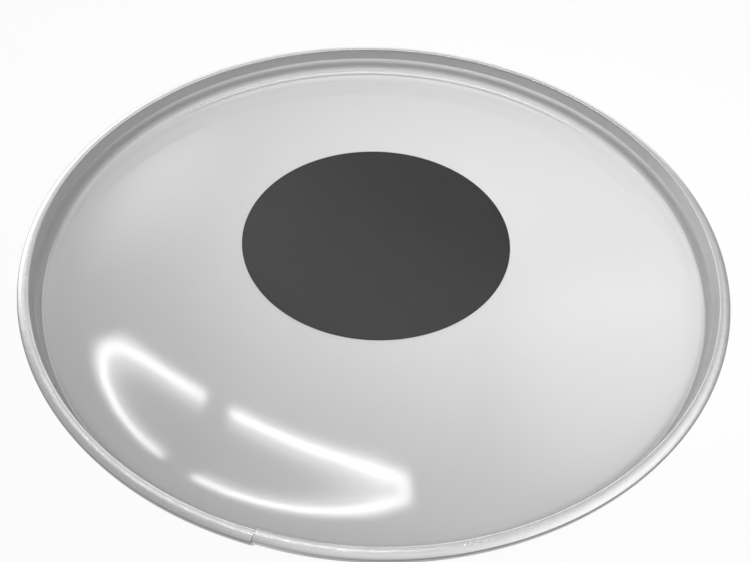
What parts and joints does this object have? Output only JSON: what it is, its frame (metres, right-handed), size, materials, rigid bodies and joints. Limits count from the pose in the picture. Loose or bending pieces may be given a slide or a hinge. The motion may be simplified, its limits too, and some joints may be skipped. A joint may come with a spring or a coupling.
{
  "type": "drum head",
  "caption": "Clear plastic drum head with a black centre dot, its dished film and collar cast with resin into a slim round aluminium hoop.",
  "frame": {"origin": "under the centre of the head, on the surface that its playing face lies on", "axes": "+Z along the head's axis, from the playing face to the open side that the shell enters; the hoop's joint is 12.5 degrees from -Y towards -X"},
  "size_m": [0.368, 0.3678, 0.0202],
  "materials": {
    "hoop": "satin mill finish",
    "resin": "cast, glossy",
    "film": "clear, glossy",
    "glue": "pressure sensitive glue",
    "dot": "satin"
  },
  "bodies": {
    "root": {"hoop_channel": "hoop", "hoop_resin": "resin", "clear_film": "film", "dot_glue": "glue", "reinforcement_dot": "dot"}
  },
  "joints": []
}
